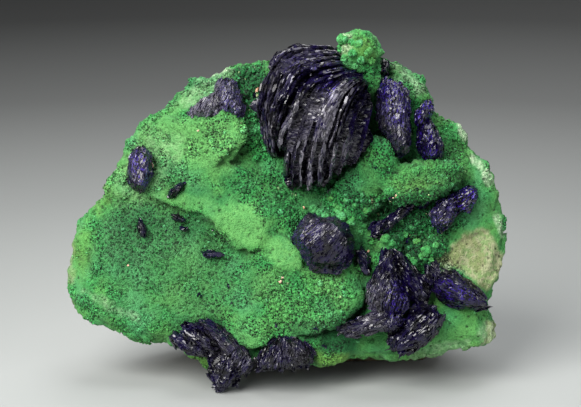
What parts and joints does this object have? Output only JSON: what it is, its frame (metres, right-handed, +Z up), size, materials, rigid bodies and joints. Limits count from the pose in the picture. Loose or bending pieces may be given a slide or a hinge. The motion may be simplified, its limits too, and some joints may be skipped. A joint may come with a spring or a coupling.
{
  "type": "azurite specimen",
  "caption": "Standing mineral specimen: a malachite-crusted rock plate with a bladed azurite rosette and smaller azurite crystals on its face.",
  "frame": {"origin": "on the surface that it rests on, under the middle of its box", "axes": "+X to the right seen from the crystals' side, +Y from the crystals towards the back, +Z up"},
  "size_m": [0.1194, 0.0532, 0.0985],
  "materials": {
    "malachite_crust": "velvety green druse, paler and yellower on the rims",
    "azurite": "near-black blue-violet crystal, vitreous on its faces"
  },
  "bodies": {
    "root": {"malachite_crusted_rock": "malachite_crust", "azurite_rosette": "azurite", "azurite_upper_left": "azurite", "azurite_left_edge": "azurite", "azurite_centre_block": "azurite", "azurite_tall_right": "azurite", "azurite_right_rim": "azurite", "azurite_top_chip": "azurite", "azurite_right_twins": "azurite", "azurite_lower_blade": "azurite", "azurite_crossed_blades": "azurite", "azurite_thin_blade": "azurite", "azurite_under_shelf": "azurite", "azurite_lowest_cluster": "azurite", "azurite_bottom_fan": "azurite", "azurite_slip": "azurite", "azurite_grain_upper": "azurite", "azurite_grain_left": "azurite", "azurite_grain_middle": "azurite", "azurite_grain_inner": "azurite", "azurite_grain_lower": "azurite"}
  },
  "joints": []
}
